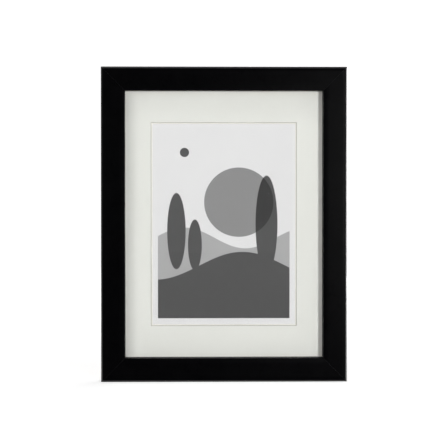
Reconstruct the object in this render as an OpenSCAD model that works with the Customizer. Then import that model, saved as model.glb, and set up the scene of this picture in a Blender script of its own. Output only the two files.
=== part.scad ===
// Portrait picture frame for 18 x 24 cm, with a bevelled mat, to stand on a table or hang on a wall.
// X runs across the frame, Y from the front face to the back, Z up. The base lies on Z = 0.

/* [Frame] */
// Clear width between the side rails, as seen from the front
sight_w = 170; // [120:0.5:400]
// Clear height between the top and bottom rails
sight_h = 229.3; // [200:0.1:500]
// Width of a rail's face
rail_w = 20.7; // [18:0.1:45]
// Radius of the front arris along the outer edges
arris_r = 1.6; // [0.4:0.1:3]
// Radius of the front edge round the sight opening
sight_edge_r = 0.5; // [0.2:0.1:1.5]
// Chamfer along the rear outer edges
rear_chamfer = 0.6; // [0.2:0.1:1.5]

/* [Rebate] */
// Width of the lip, from the sight edge to the rebate's wall
lip_w = 5.6; // [4:0.1:8]
// Thickness of the lip in front of the pane, which is how deep the mat lies behind the front face
lip_t = 13; // [9:0.1:30]
// Gap all round the pieces that lie in the rebate
rebate_gap = 0.5; // [0.2:0.1:0.8]

/* [Picture stack] */
// Thickness of the glass pane
pane_t = 2; // [1:0.1:4]
// Thickness of the mat board
mat_t = 1.4; // [0.8:0.1:3]
// Width of the mat's window at its front edge
window_w = 126; // [60:0.5:150]
// Height of the mat's window at its front edge
window_h = 176; // [80:0.5:200]
// Thickness of the printed sheet
sheet_t = 0.3; // [0.1:0.05:1]
// Thickness of the back board
board_t = 3; // [2:0.1:6]

/* [Corner nails] */
// Length of each leg of a corner nail
nail_leg = 5; // [3:0.1:7]
// Thickness of the nail's strip
nail_t = 0.6; // [0.3:0.05:1]
// Depth of a nail in the rails
nail_h = 8; // [4:0.1:12]
// How far a nail is driven below the rails' rear face
nail_sink = 0.3; // [0.1:0.05:1]

/* [Turn buttons] */
// Radius of a turn button's round end at its screw
button_pivot_r = 4.5; // [3.8:0.1:6]
// Radius of a turn button's tip
button_tip_r = 3.2; // [2:0.1:3.7]
// How far a turn button reaches over the back board
button_lap = 7; // [4:0.1:15]
// Thickness of a turn button
button_t = 1; // [0.6:0.1:2]
// Free height under and over a turn button on its screw
button_play = 0.1; // [0.05:0.01:0.2]

/* [Screws] */
// Radius of a screw's shank
screw_r = 1.25; // [1:0.05:1.6]
// Length of a screw in the rail, with its point
screw_depth = 11; // [6:0.5:14]
// Length of the screw's point
screw_point = 2.5; // [1:0.1:4]
// Radius of a screw's head
screw_head_r = 2.9; // [2.4:0.1:3.5]
// Height of a screw's head
screw_head_h = 1.4; // [1:0.1:2]
// Width of an arm of the cross recess in a screw's head
recess_w = 0.7; // [0.4:0.05:1]
// Depth of the cross recess
recess_d = 0.8; // [0.4:0.05:1]
// Radial clearance where a turn button turns on its screw
pivot_clear = 0.08; // [0.02:0.01:0.1]
// Radial clearance of screws and rivets that stay fast in their holes
fixed_clear = 0.02; // [0.01:0.01:0.05]

/* [Strut] */
// Height of the strut's hinge axis above the base
axis_z = 178; // [140:0.5:190]
// Width of the strut below its hinge
strut_top_w = 46; // [40:0.5:70]
// Width of the strut at its foot
strut_foot_w = 66; // [45:0.5:100]
// Thickness of the strut
strut_t = 3; // [2:0.1:4]
// Radius of the strut's corners
strut_corner_r = 5; // [1:0.5:10]
// Height of the folded strut's foot above the base
foot_lift = 0.6; // [0.3:0.1:20]
// Angle at which the strut's hinge stops
strut_open = 30; // [20:1:40]

/* [Strut hinge] */
// Width of both hinge leaves
hinge_w = 36; // [30:0.5:38]
// Length of each leaf from the axis
leaf_h = 20; // [17:0.5:30]
// Thickness of the leaves
leaf_t = 0.8; // [0.5:0.05:1.2]
// Radius of the leaves' outer corners
leaf_corner_r = 3; // [1:0.1:5]
// Outer radius of the knuckles
knuckle_r = 2.1; // [1.8:0.05:2.6]
// Width of the middle knuckle, which turns with the strut
middle_w = 15; // [10:0.5:20]
// Gap between neighbouring knuckles, and round them
knuckle_gap = 0.3; // [0.1:0.05:0.6]
// Radius of the hinge pin
pin_r = 1; // [0.7:0.05:1.2]
// Radial clearance of the moving knuckle on the pin
pin_clear = 0.06; // [0.02:0.01:0.1]
// Gap left between the heel and the fixed leaf at the stop
stop_gap = 0.05; // [0.02:0.01:0.1]

/* [Rivets] */
// Radius of a rivet's shank
rivet_r = 1.4; // [1:0.05:1.8]
// Radius of a rivet's head
rivet_head_r = 2.7; // [2.2:0.1:3]
// Height of a rivet's head
rivet_head_h = 0.8; // [0.5:0.05:1.2]
// Radius of the flared end
flare_r = 2.1; // [1.9:0.05:2.6]
// Length of the flared end
flare_h = 0.8; // [0.5:0.05:1.2]
// How far the flared end stays below the face
flare_sink = 0.1; // [0.05:0.05:0.3]

/* [Hangers] */
// Radius of a hanger ring's wire
wire_r = 0.8; // [0.6:0.05:0.9]
// Clear width inside a ring
ring_in_w = 14; // [13.6:0.1:20]
// Length of a ring's straight sides, from the axis
ring_side = 7; // [6.5:0.1:12]
// Radius of the wire's bend at the ends of the bar, at its centre line
ring_bend_r = 1.6; // [1.2:0.05:1.8]
// Radial clearance of a ring in its strap
ring_clear = 0.08; // [0.02:0.01:0.1]
// Thickness of the strap's sheet, which lies double
strap_t = 0.6; // [0.4:0.05:0.7]
// Width of a strap
strap_w = 12; // [10:0.1:12.2]
// Length of a strap from the ring's axis
strap_len = 8.2; // [7.8:0.1:9]
// Radius of the corners at the strap's end
strap_corner_r = 2; // [1:0.1:2.5]
// Distance from a ring's axis to the back board's nearest edge
hanger_inset = 9; // [4:0.5:14]

/* [Hidden] */
$fn = 64;
// Overrun of every cut past the face that it opens
over = 1;
// Steps in each rounded corner of an outline
corner_steps = 6;

black = [0.06, 0.06, 0.065];
ivory = [0.9, 0.9, 0.875];
grey_paper = [0.89, 0.89, 0.89];
board_brown = [0.52, 0.4, 0.28];
steel = [0.72, 0.73, 0.74];
pale_glass = [0.85, 0.92, 0.9, 0.3];

// Frame
outer_w = sight_w + 2 * rail_w;
outer_h = sight_h + 2 * rail_w;
rail_d = lip_t + pane_t + mat_t + sheet_t + board_t;
band_w = rail_w - lip_w;
mid_z = outer_h / 2;

// Strut and hinge, measured behind the back board's rear face
axis_off = knuckle_r + knuckle_gap;
leaf_back = axis_off + knuckle_r;
strut_stack = leaf_back + rivet_head_h;
front_y = -(rail_d + strut_stack) / 2;
rear_y = front_y + rail_d;
axis_y = rear_y + axis_off;

// Picture stack
pane_y = front_y + lip_t;
mat_y = pane_y + pane_t;
sheet_y = mat_y + mat_t;
board_y = sheet_y + sheet_t;
insert_w = sight_w + 2 * (lip_w - rebate_gap);
insert_h = sight_h + 2 * (lip_w - rebate_gap);

// Corner nails, at these shares of the rear band's width along each mitre
nail_place_shares = [0.24, 0.6];

// Turn buttons, at this share of the height above and below the middle
button_height_share = 0.27;
button_x = outer_w / 2 - band_w / 2;
button_len = band_w / 2 + rebate_gap + button_lap - button_tip_r;
button_dz = button_height_share * outer_h;
screw_hole_r = screw_r + fixed_clear;
// Shape of a screw's head, as shares of its radius and height
head_top_share = 0.62;
head_edge_share = 0.45;
recess_arm_share = 1.2;

// Hinge
leaf_front = axis_off + knuckle_r - leaf_t;
heel_front = knuckle_r - leaf_t;
plate_back = axis_off - leaf_t;
heel_h = (heel_front * cos(strut_open) + plate_back - stop_gap) / sin(strut_open);
leaf_start = knuckle_r + knuckle_gap;
strut_start = leaf_start + leaf_t;
strut_len = axis_z - foot_lift;
// Places of the rivets on a leaf, as shares of its half width and of its length
rivet_x_share = 0.62;
rivet_z_share = 0.62;
rivet_x = rivet_x_share * hinge_w / 2;
rivet_z = rivet_z_share * leaf_h;

// Rivets: shape of the domed head, as shares of its radius and height
dome_top_share = 0.55;
dome_edge_share = 0.4;
plate_stack = leaf_t + board_t;
strut_rivet_stack = leaf_t + strut_t;
strap_stack = 2 * strap_t + board_t;

// Hangers
barrel_r = wire_r + ring_clear + strap_t;
ring_half = ring_in_w / 2 + wire_r;
// Place of the rivet between the barrel and the strap's end
strap_rivet_share = 0.56;
strap_rivet = strap_rivet_share * strap_len;
hanger_y = rear_y + barrel_r;
top_axis_z = mid_z + insert_h / 2 - hanger_inset;
side_axis_x = insert_w / 2 - hanger_inset;

// Outline helpers

function unit(v) = v / norm(v);

// Points of one rounded corner, from the edge that comes in to the edge that goes out
function corner_points(before, here, after, r) =
    let (
        a = unit(before - here),
        b = unit(after - here),
        half = acos(a * b) / 2,
        centre = here + unit(a + b) * r / sin(half),
        start = here + a * r / tan(half) - centre,
        stop = here + b * r / tan(half) - centre,
        from = atan2(start.y, start.x),
        sweep = (atan2(stop.y, stop.x) - from + 540) % 360 - 180
    )
    [for (i = [0 : corner_steps])
        let (angle = from + sweep * i / corner_steps)
        centre + r * [cos(angle), sin(angle)]];

// An outline with each corner rounded by its own radius, where 0 leaves it sharp
function rounded_outline(points, radii) =
    let (n = len(points))
    [for (i = [0 : n - 1])
        each radii[i] > 0
            ? corner_points(points[(i + n - 1) % n], points[i], points[(i + 1) % n], radii[i])
            : [points[i]]];

// The corner at the origin that a radius takes away, with the material in the first quadrant
module corner_waste(r) {
    difference() {
        translate([-over, -over]) square(r + over);
        translate([r, r]) circle(r);
    }
}

// Turns a shape in X and Y so that its Y runs up, and gives it a thickness from y backwards
module upright(y, thickness) {
    translate([0, y + thickness, 0])
        rotate([90, 0, 0])
            linear_extrude(thickness) children();
}

// A plain board of the given width and height round the middle of the frame
module slab(w, h, y, thickness) {
    translate([-w / 2, y, mid_z - h / 2]) cube([w, thickness, h]);
}

// A cylinder along X, centred on the origin
module cross_rod(r, length) {
    rotate([0, 90, 0]) cylinder(h = length, r = r, center = true);
}

// Rails

// Section of a rail: X from the front face back, Y from the outer edge to the sight edge
module rail_section() {
    difference() {
        square([rail_d, rail_w]);
        translate([lip_t, band_w]) square([rail_d, rail_w]);
        corner_waste(arris_r);
        translate([0, rail_w]) mirror([0, 1]) corner_waste(sight_edge_r);
        translate([rail_d, 0])
            polygon([
                [-rear_chamfer - over, -over],
                [over, -over],
                [over, rear_chamfer + over]
            ]);
    }
}

// One rail along X with mitred ends, its outer face down on Z = 0
module rail(length) {
    intersection() {
        translate([-length / 2, front_y, 0])
            rotate([90, 0, 90])
                linear_extrude(length) rail_section();
        upright(front_y - over, rail_d + 2 * over)
            polygon([
                [-length / 2, 0],
                [length / 2, 0],
                [length / 2 - rail_w, rail_w],
                [-length / 2 + rail_w, rail_w]
            ]);
    }
}

// One V-shaped nail with its apex at the origin and its legs towards -X and -Z
module corner_nail(y, depth) {
    upright(y, depth)
        union() {
            translate([-nail_leg, -nail_t]) square([nail_leg, nail_t]);
            translate([-nail_t, -nail_leg]) square([nail_t, nail_leg]);
        }
}

// Puts its children at every corner's nail places
module at_nails() {
    for (side = [0, 1])
        for (end = [0, 1])
            for (share = nail_place_shares)
                translate([0, 0, end * outer_h])
                    mirror([0, 0, 1 - end])
                        mirror([side, 0, 0])
                            translate([outer_w / 2 - share * band_w, 0, -share * band_w])
                                children();
}

module nail_slots() {
    at_nails() corner_nail(rear_y - nail_sink - nail_h, nail_h + nail_sink + over);
}

// Puts its children on each turn button's axis
module at_buttons() {
    for (side = [-1, 1])
        for (end = [-1, 1])
            translate([side * button_x, rear_y, mid_z + end * button_dz]) children();
}

module screw_holes() {
    at_buttons()
        rotate([90, 0, 0])
            translate([0, 0, -over])
                cylinder(h = screw_depth + fixed_clear + over, r = screw_hole_r);
}

module rail_top() {
    color(black)
        difference() {
            translate([0, 0, outer_h]) mirror([0, 0, 1]) rail(outer_w);
            nail_slots();
        }
}

module rail_bottom() {
    color(black)
        difference() {
            rail(outer_w);
            nail_slots();
        }
}

module side_rail() {
    color(black)
        difference() {
            translate([-outer_w / 2, 0, mid_z]) rotate([0, 90, 0]) rail(outer_h);
            nail_slots();
            screw_holes();
        }
}

module rail_left() {
    side_rail();
}

module rail_right() {
    mirror([1, 0, 0]) side_rail();
}

module corner_nails() {
    color(steel) at_nails() corner_nail(rear_y - nail_sink - nail_h, nail_h);
}

// Picture stack

module glass_pane() {
    color(pale_glass) slab(insert_w, insert_h, pane_y, pane_t);
}

// Section of the window's cut across one direction, at 45 degrees, with the mat's front face on Y = 0
module bevel_section(size) {
    polygon([
        [-size / 2 - over, -over],
        [size / 2 + over, -over],
        [size / 2 - mat_t - over, mat_t + over],
        [-size / 2 + mat_t + over, mat_t + over]
    ]);
}

module passe_partout() {
    color(ivory)
        difference() {
            slab(insert_w, insert_h, mat_y, mat_t);
            intersection() {
                translate([0, mat_y, mid_z - window_h])
                    linear_extrude(2 * window_h) bevel_section(window_w);
                translate([-window_w, mat_y, mid_z])
                    rotate([90, 0, 90])
                        linear_extrude(2 * window_w)
                            mirror([1, -1]) bevel_section(window_h);
            }
        }
}

module insert_sheet() {
    color(grey_paper) slab(insert_w, insert_h, sheet_y, sheet_t);
}

module back_board() {
    color(board_brown)
        difference() {
            slab(insert_w, insert_h, board_y, board_t);
            at_plate_rivets() rivet_hole(plate_stack);
            at_strap_rivets() rivet_hole(strap_stack);
        }
}

// Turn buttons and their screws

// Points of an arc round a place on X, from one angle to another
function arc_points(x, r, from, to, steps) =
    [for (i = [0 : steps])
        let (angle = from + (to - from) * i / steps)
        [x, 0] + r * [cos(angle), sin(angle)]];

// A plate along X from its pivot to its tip, with straight sides tangent to both round ends
module button_outline() {
    tangent = acos((button_pivot_r - button_tip_r) / button_len);
    polygon(concat(
        arc_points(0, button_pivot_r, tangent, 360 - tangent, 4 * corner_steps),
        arc_points(button_len, button_tip_r, -tangent, tangent, 3 * corner_steps)
    ));
}

// side is -1 or 1 for left or right seen from the front, end is -1 or 1 for lower or upper
module turn_button(side, end) {
    color(steel)
        translate([side * button_x, 0, mid_z + end * button_dz])
            mirror([side > 0 ? 1 : 0, 0, 0])
                upright(rear_y + button_play, button_t)
                    difference() {
                        button_outline();
                        circle(screw_r + pivot_clear);
                    }
}

module turn_button_upper_left() {
    turn_button(-1, 1);
}

module turn_button_upper_right() {
    turn_button(1, 1);
}

module turn_button_lower_left() {
    turn_button(-1, -1);
}

module turn_button_lower_right() {
    turn_button(1, -1);
}

// A pan-head screw along Z with its head's seat at the origin and its point down
module screw() {
    shank = screw_depth + button_t + 2 * button_play;
    difference() {
        rotate_extrude()
            polygon([
                [0, -shank],
                [screw_r, -shank + screw_point],
                [screw_r, 0],
                [screw_head_r, 0],
                [screw_head_r, head_edge_share * screw_head_h],
                [head_top_share * screw_head_r, screw_head_h],
                [0, screw_head_h]
            ]);
        for (turn = [0, 90])
            rotate([0, 0, turn])
                translate([
                    -recess_arm_share * screw_head_r / 2,
                    -recess_w / 2,
                    screw_head_h - recess_d
                ])
                    cube([recess_arm_share * screw_head_r, recess_w, recess_d + over]);
    }
}

module turn_button_screws() {
    color(steel)
        at_buttons()
            translate([0, button_t + 2 * button_play, 0])
                rotate([-90, 0, 0]) screw();
}

// Rivets, along Z with the head's seat at the origin

module rivet(stack) {
    foot = stack - flare_sink;
    rotate_extrude()
        polygon([
            [0, -foot],
            [flare_r, -foot],
            [rivet_r, -foot + flare_h],
            [rivet_r, 0],
            [rivet_head_r, 0],
            [rivet_head_r, dome_edge_share * rivet_head_h],
            [dome_top_share * rivet_head_r, rivet_head_h],
            [0, rivet_head_h]
        ]);
}

// The hole for a rivet, from above its seat to past the far face
module rivet_hole(stack) {
    foot = stack - flare_sink;
    rotate_extrude()
        polygon([
            [0, -stack - over],
            [flare_r + fixed_clear, -stack - over],
            [flare_r + fixed_clear, -foot],
            [rivet_r + fixed_clear, -foot + flare_h],
            [rivet_r + fixed_clear, over],
            [0, over]
        ]);
}

// Puts its children at the fixed leaf's rivets, seated on its rear face
module at_plate_rivets() {
    for (side = [-1, 1])
        translate([side * rivet_x, rear_y + leaf_t, axis_z + rivet_z])
            rotate([-90, 0, 0]) children();
}

// Puts its children at the moving leaf's rivets, seated on its rear face
module at_strut_rivets() {
    for (side = [-1, 1])
        translate([side * rivet_x, rear_y + leaf_back, axis_z - rivet_z])
            rotate([-90, 0, 0]) children();
}

// Puts its children on both hanger straps' rivets, seated on the straps
module at_strap_rivets() {
    translate([0, rear_y + 2 * strap_t, top_axis_z - strap_rivet])
        rotate([-90, 0, 0]) children();
    translate([side_axis_x - strap_rivet, rear_y + 2 * strap_t, mid_z])
        rotate([-90, 0, 0]) children();
}

module hinge_plate_rivets() {
    color(steel) at_plate_rivets() rivet(plate_stack);
}

module strut_leg_rivets() {
    color(steel) at_strut_rivets() rivet(strut_rivet_stack);
}

module hanger_rivets() {
    color(steel) at_strap_rivets() rivet(strap_stack);
}

// Strut hinge

// Fixed leaf: a plate on the back board with a knuckle at each side
module strut_hinge_plate() {
    side_w = (hinge_w - middle_w) / 2 - knuckle_gap;
    color(steel)
        difference() {
            translate([0, 0, axis_z])
                union() {
                    upright(rear_y, leaf_t)
                        polygon(rounded_outline(
                            [
                                [-hinge_w / 2, 0],
                                [hinge_w / 2, 0],
                                [hinge_w / 2, leaf_h],
                                [-hinge_w / 2, leaf_h]
                            ],
                            [0, 0, leaf_corner_r, leaf_corner_r]
                        ));
                    for (side = [-1, 1])
                        translate([side * (hinge_w - side_w) / 2, axis_y, 0])
                            cross_rod(knuckle_r, side_w);
                }
            // Room for the middle knuckle
            translate([-middle_w / 2 - knuckle_gap, rear_y - over, axis_z - over])
                cube([middle_w + 2 * knuckle_gap, leaf_t + 2 * over, leaf_start + over]);
            translate([0, axis_y, axis_z]) cross_rod(pin_r + fixed_clear, hinge_w + 2 * over);
            at_plate_rivets() rivet_hole(plate_stack);
        }
}

// Moving leaf: a plate on the strut, a middle knuckle, and a heel above it that stops the swing
module strut_hinge_leaf() {
    color(steel)
        difference() {
            translate([0, 0, axis_z])
                union() {
                    upright(rear_y + leaf_front, leaf_t)
                        polygon(rounded_outline(
                            [
                                [-hinge_w / 2, -leaf_h],
                                [hinge_w / 2, -leaf_h],
                                [hinge_w / 2, -leaf_start],
                                [middle_w / 2, -leaf_start],
                                [middle_w / 2, heel_h],
                                [-middle_w / 2, heel_h],
                                [-middle_w / 2, -leaf_start],
                                [-hinge_w / 2, -leaf_start]
                            ],
                            [leaf_corner_r, leaf_corner_r, 0, 0, 0, 0, 0, 0]
                        ));
                    translate([0, axis_y, 0]) cross_rod(knuckle_r, middle_w);
                }
            translate([0, axis_y, axis_z]) cross_rod(pin_r + pin_clear, middle_w + 2 * over);
            at_strut_rivets() rivet_hole(strut_rivet_stack);
        }
}

module strut_hinge_pin() {
    color(steel) translate([0, axis_y, axis_z]) cross_rod(pin_r, hinge_w);
}

// The strut lies along the back, over the bottom rail, and swings out on its hinge
module strut_leg() {
    color(black)
        difference() {
            translate([0, 0, axis_z])
                upright(rear_y + leaf_front - strut_t, strut_t)
                    polygon(rounded_outline(
                        [
                            [-strut_foot_w / 2, -strut_len],
                            [strut_foot_w / 2, -strut_len],
                            [strut_top_w / 2, -strut_start],
                            [-strut_top_w / 2, -strut_start]
                        ],
                        [strut_corner_r, strut_corner_r, strut_corner_r, strut_corner_r]
                    ));
            at_strut_rivets() rivet_hole(strut_rivet_stack);
        }
}

// Hangers, with the ring's axis along X through the origin and the strap down towards -Z

module hanger_strap() {
    difference() {
        union() {
            upright(-barrel_r, 2 * strap_t)
                polygon(rounded_outline(
                    [
                        [-strap_w / 2, -strap_len],
                        [strap_w / 2, -strap_len],
                        [strap_w / 2, 0],
                        [-strap_w / 2, 0]
                    ],
                    [strap_corner_r, strap_corner_r, 0, 0]
                ));
            cross_rod(barrel_r, strap_w);
        }
        cross_rod(wire_r + ring_clear, strap_w + 2 * over);
        translate([0, 2 * strap_t - barrel_r, -strap_rivet])
            rotate([-90, 0, 0]) rivet_hole(strap_stack);
    }
}

// One bend of a ring's wire, round the origin in the plane of X and Z
module wire_bend(r, angle) {
    rotate([90, 0, 0])
        rotate_extrude(angle = angle)
            translate([r, 0]) circle(wire_r);
}

// A closed loop of wire: a bar along the axis, two sides and a round end
module hanger_ring() {
    cross_rod(wire_r, 2 * (ring_half - ring_bend_r));
    for (side = [0, 1])
        mirror([side, 0, 0]) {
            translate([ring_half - ring_bend_r, 0, -ring_bend_r]) wire_bend(ring_bend_r, 90);
            translate([ring_half, 0, -ring_side])
                cylinder(h = ring_side - ring_bend_r, r = wire_r);
        }
    translate([0, 0, -ring_side]) mirror([0, 0, 1]) wire_bend(ring_half, 180);
}

module hanger_strap_top() {
    color(steel) translate([0, hanger_y, top_axis_z]) hanger_strap();
}

module hanger_strap_side() {
    color(steel) translate([side_axis_x, hanger_y, mid_z]) rotate([0, 90, 0]) hanger_strap();
}

// The top ring hangs down over its strap
module hanger_ring_top() {
    color(steel) translate([0, hanger_y, top_axis_z]) hanger_ring();
}

// The side ring lies out over the rail, away from its strap
module hanger_ring_side() {
    color(steel) translate([side_axis_x, hanger_y, mid_z]) rotate([0, -90, 0]) hanger_ring();
}

rail_top();
rail_bottom();
rail_left();
rail_right();
corner_nails();
glass_pane();
passe_partout();
insert_sheet();
back_board();
turn_button_upper_left();
turn_button_upper_right();
turn_button_lower_left();
turn_button_lower_right();
turn_button_screws();
strut_hinge_plate();
strut_hinge_leaf();
strut_hinge_pin();
strut_leg();
hinge_plate_rivets();
strut_leg_rivets();
hanger_strap_top();
hanger_strap_side();
hanger_ring_top();
hanger_ring_side();
hanger_rivets();
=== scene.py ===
"""Dresses a packed picture frame for an 18 x 24 cm picture.

The moulding, the picture stack, the rear fittings and the studio each have a class of their own.
"""

import logging
import math
from collections.abc import Callable, Iterable, Sequence
from dataclasses import dataclass, field
from enum import Enum
from typing import Any

import bmesh
import bpy
from mathutils import Matrix, Vector


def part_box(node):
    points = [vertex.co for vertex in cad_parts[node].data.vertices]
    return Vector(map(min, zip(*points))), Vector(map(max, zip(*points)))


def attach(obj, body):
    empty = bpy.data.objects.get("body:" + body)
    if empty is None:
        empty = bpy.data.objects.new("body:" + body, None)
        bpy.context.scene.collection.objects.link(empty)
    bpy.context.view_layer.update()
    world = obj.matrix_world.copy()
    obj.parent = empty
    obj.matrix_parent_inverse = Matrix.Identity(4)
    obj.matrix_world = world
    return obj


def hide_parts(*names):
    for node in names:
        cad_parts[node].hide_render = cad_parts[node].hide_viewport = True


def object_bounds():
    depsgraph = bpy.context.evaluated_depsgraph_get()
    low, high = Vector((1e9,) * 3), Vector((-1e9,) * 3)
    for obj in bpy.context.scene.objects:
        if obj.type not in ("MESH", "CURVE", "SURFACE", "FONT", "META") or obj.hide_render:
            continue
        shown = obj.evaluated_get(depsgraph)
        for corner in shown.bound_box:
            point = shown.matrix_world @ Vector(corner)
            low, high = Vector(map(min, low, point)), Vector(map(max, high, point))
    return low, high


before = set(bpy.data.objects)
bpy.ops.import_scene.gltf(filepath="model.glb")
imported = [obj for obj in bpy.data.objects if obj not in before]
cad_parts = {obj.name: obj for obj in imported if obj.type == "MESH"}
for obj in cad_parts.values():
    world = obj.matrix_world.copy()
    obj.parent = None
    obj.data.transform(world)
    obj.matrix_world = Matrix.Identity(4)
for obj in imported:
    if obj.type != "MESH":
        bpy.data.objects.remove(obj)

LOG = logging.getLogger("picture_frame")
CAD_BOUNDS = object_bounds()

MM = 0.001
ALONG_X = Vector((1, 0, 0))
ALONG_Y = Vector((0, 1, 0))
ALONG_Z = Vector((0, 0, 1))
# How far a cutter runs past the face that it opens
OVER = 1 * MM
# Two places closer than this are the same
NEAR = 0.02 * MM
QUARTER = math.pi / 2
# A face whose normal has this much of a direction faces that way
FACING = 0.9
# A face whose normal has this much of a direction leans that way
LEANING = 0.3
# Edges that turn less than this many degrees are shaded smooth on stamped and turned pieces
SMOOTH_TURN = 40
# Faces that turn less than this against each other are one flat face
FLAT_TURN = math.radians(1)
# Nearly all of a noise pattern lies between these
NOISE_RANGE = (0.3, 0.7)

Place = tuple[float, float, float]
Colour = tuple[float, float, float, float]
Tree = bpy.types.NodeTree
Socket = bpy.types.NodeSocket
Test = Callable[[Vector, Vector], bool]


class Element(Enum):
    """What an edit-mode selection is made of."""

    VERT = "VERT"
    EDGE = "EDGE"
    FACE = "FACE"


# Shading helpers


def srgb(code: str) -> Colour:
    """Turns an sRGB hex colour into the linear colour that a shader takes.

    Args:
        code: The colour as #RRGGBB.

    Returns:
        Red, green, blue and alpha, linear.
    """
    parts = [int(code[i : i + 2], 16) / 255 for i in (1, 3, 5)]
    red, green, blue = (p / 12.92 if p <= 0.04045 else ((p + 0.055) / 1.055) ** 2.4 for p in parts)
    return (red, green, blue, 1.0)


def repeats(size: float) -> float:
    """Gives the scale at which a pattern repeats once in so many millimetres."""
    return 1 / (size * MM)


def add_node(
    tree: Tree, kind: str, inputs: dict[str | int, Any] | None = None, **settings: Any
) -> bpy.types.Node:
    """Adds a node with its settings, and fills its inputs.

    Args:
        tree: The node tree that gets it.
        kind: Blender's name of the node type, without "ShaderNode".
        inputs: A value or an output socket for each input, by name or number.
        **settings: The node's own settings, such as its operation.

    Returns:
        The new node.
    """
    node = tree.nodes.new("ShaderNode" + kind)
    for name, value in settings.items():
        setattr(node, name, value)
    for name, value in (inputs or {}).items():
        if isinstance(value, Socket):
            tree.links.new(value, node.inputs[name])
        else:
            node.inputs[name].default_value = value
    return node


@dataclass(frozen=True)
class Finish:
    """What every finish shares: its name, an empty material, clouds and layers of colour."""

    name: str

    def begin(self) -> tuple[bpy.types.Material, Tree, Socket]:
        """Makes the material with nothing but object coordinates in it.

        Returns:
            The material, its node tree and the coordinates' output.
        """
        material = bpy.data.materials.new(self.name)
        material.use_nodes = True
        tree = material.node_tree
        tree.nodes.clear()
        return material, tree, add_node(tree, "TexCoord").outputs["Object"]

    def end(self, tree: Tree, shader: bpy.types.Node) -> None:
        """Sends a shader to the material's output."""
        add_node(tree, "OutputMaterial", {"Surface": shader.outputs[0]})

    def grain(
        self,
        tree: Tree,
        place: Socket,
        size: float,
        low: float,
        high: float,
        detail: float = 2.0,
        stretch: tuple[float, float, float] = (1, 1, 1),
        twist: float = 0.0,
    ) -> Socket:
        """Adds a cloudy pattern whose middle tones run between two values.

        Args:
            tree: The node tree that gets it.
            place: The coordinates that it lies on.
            size: Size of a cloud in millimetres.
            low: The value of the darkest clouds.
            high: The value of the lightest clouds.
            detail: How many finer layers it has.
            stretch: How many times finer the clouds are along each axis.
            twist: How far the clouds are drawn out into curls.

        Returns:
            The pattern's value.
        """
        laid = add_node(tree, "Mapping", {"Vector": place, "Scale": stretch}).outputs[0]
        look = {"Vector": laid, "Scale": repeats(size), "Detail": detail, "Distortion": twist}
        cloud = add_node(tree, "TexNoise", look).outputs[0]
        start, stop = NOISE_RANGE
        ends = {"Value": cloud, "From Min": start, "From Max": stop, "To Min": low, "To Max": high}
        return add_node(tree, "MapRange", ends).outputs[0]

    def layer(
        self, tree: Tree, ground: Colour, *coats: tuple[Socket | float, Colour]
    ) -> Socket:
        """Lays colours over each other.

        Args:
            tree: The node tree that gets them.
            ground: The lowest colour.
            *coats: How much each further colour covers, from 0 to 1, and the colour itself.

        Returns:
            The colour that shows.
        """
        shown: Socket | Colour = ground
        for share, colour in coats:
            mix = add_node(tree, "Mix", {0: share, 6: shown, 7: colour}, data_type="RGBA")
            shown = mix.outputs[2]
        return shown


@dataclass(frozen=True)
class SatinFoil(Finish):
    """Paper foil with a satin lacquer, wrapped and glued round the moulding.

    It is deep black, with a soft broad sheen on the flats and a brighter line along the crowns.
    """

    colour: str = "#010102"
    worn: str = "#030304"
    # Sizes in millimetres of the clouds in which the black and its gloss are uneven
    tone_cloud: float = 18
    gloss_cloud: float = 6
    roughness: tuple[float, float] = (0.26, 0.31)
    # Lacquer over printed foil throws back less than bare plastic
    specular: float = 0.01
    # Hands and cloths have rubbed the crown of each front arris glossy
    rubbed_specular: float = 0.8
    rubbed_roughness: float = 0.32
    # Y of the normal where the crown begins and is full, coming from the front and the side
    crown_from_front: tuple[float, float] = (-0.95, -0.82)
    crown_from_side: tuple[float, float] = (-0.3, -0.55)
    # The foil's pores are about 0.1 mm wide; drawn twice as coarse so that they show close up
    pore: float = 0.2
    pore_depth: float = 0.006

    def crown(self, tree: Tree) -> Socket:
        """Finds the crown of a front arris, where the surface turns from the front to a side.

        Args:
            tree: The node tree that gets the nodes.

        Returns:
            1 on the crown, fading to 0 on the flat sides.
        """
        normal = add_node(tree, "NewGeometry").outputs["Normal"]
        turned = add_node(tree, "SeparateXYZ", {0: normal}).outputs[1]
        masks = []
        for start, full in (self.crown_from_front, self.crown_from_side):
            ends = {"Value": turned, "From Min": start, "From Max": full}
            masks.append(add_node(tree, "MapRange", ends).outputs[0])
        return add_node(tree, "Math", {0: masks[0], 1: masks[1]}, operation="MULTIPLY").outputs[0]

    def material(self) -> bpy.types.Material:
        """Builds the material.

        Returns:
            The material, with shallow pores and a slightly uneven gloss.
        """
        material, tree, place = self.begin()
        wear = self.grain(tree, place, self.tone_cloud, 0, 1)
        pores = self.grain(tree, place, self.pore, 0, 1, detail=3)
        bump = {"Height": pores, "Strength": 1.0, "Distance": self.pore_depth * MM}
        rubbed = self.crown(tree)
        flat_rough = self.grain(tree, place, self.gloss_cloud, *self.roughness)
        gloss = {"Value": rubbed, "To Min": self.specular, "To Max": self.rubbed_specular}
        rough = {"Value": rubbed, "To Min": flat_rough, "To Max": self.rubbed_roughness}
        shader = add_node(
            tree,
            "BsdfPrincipled",
            {
                "Base Color": self.layer(tree, srgb(self.colour), (wear, srgb(self.worn))),
                "Roughness": add_node(tree, "MapRange", rough).outputs[0],
                "Specular IOR Level": add_node(tree, "MapRange", gloss).outputs[0],
                "Normal": add_node(tree, "Bump", bump).outputs[0],
            },
        )
        self.end(tree, shader)
        return material


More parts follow.
